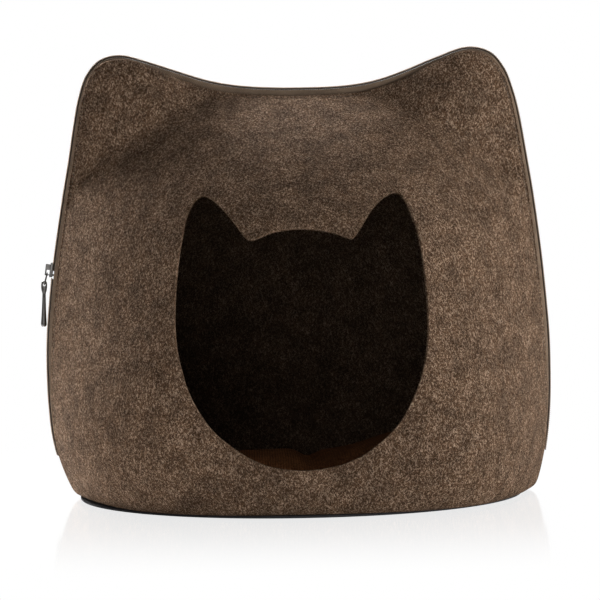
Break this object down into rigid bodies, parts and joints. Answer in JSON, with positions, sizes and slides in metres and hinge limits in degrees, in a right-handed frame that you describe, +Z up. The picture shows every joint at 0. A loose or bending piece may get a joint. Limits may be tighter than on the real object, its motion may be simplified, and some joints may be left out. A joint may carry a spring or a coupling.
{
  "type": "felt cat cave",
  "caption": "Domed felt pet bed with a cat-head doorway, joined by a zip over the top and holding a loose plush cushion.",
  "frame": {"origin": "on the floor, in the middle of the base cloth's flat underside, below the zip's plane", "axes": "+X to the right as seen from the front, -Y towards the front with the doorway, +Z up"},
  "size_m": [0.4447, 0.3183, 0.3874],
  "materials": {
    "felt": "matt heathered felt",
    "zip_tape": "woven twill",
    "zip_coil": "satin",
    "zip_metal": "dark plated, polished",
    "base_cloth": "matt",
    "plush": "short ribbed pile"
  },
  "bodies": {
    "root": {"front_shell": "felt", "rear_shell": "felt", "zip_tape_front": "zip_tape", "zip_tape_rear": "zip_tape", "zip_coil_upper": "zip_coil", "zip_coil_lower": "zip_coil", "zip_slider": "zip_metal", "zip_link": "zip_metal", "zip_pull": "zip_metal", "base_cloth": "base_cloth", "cushion": "plush"}
  },
  "joints": []
}
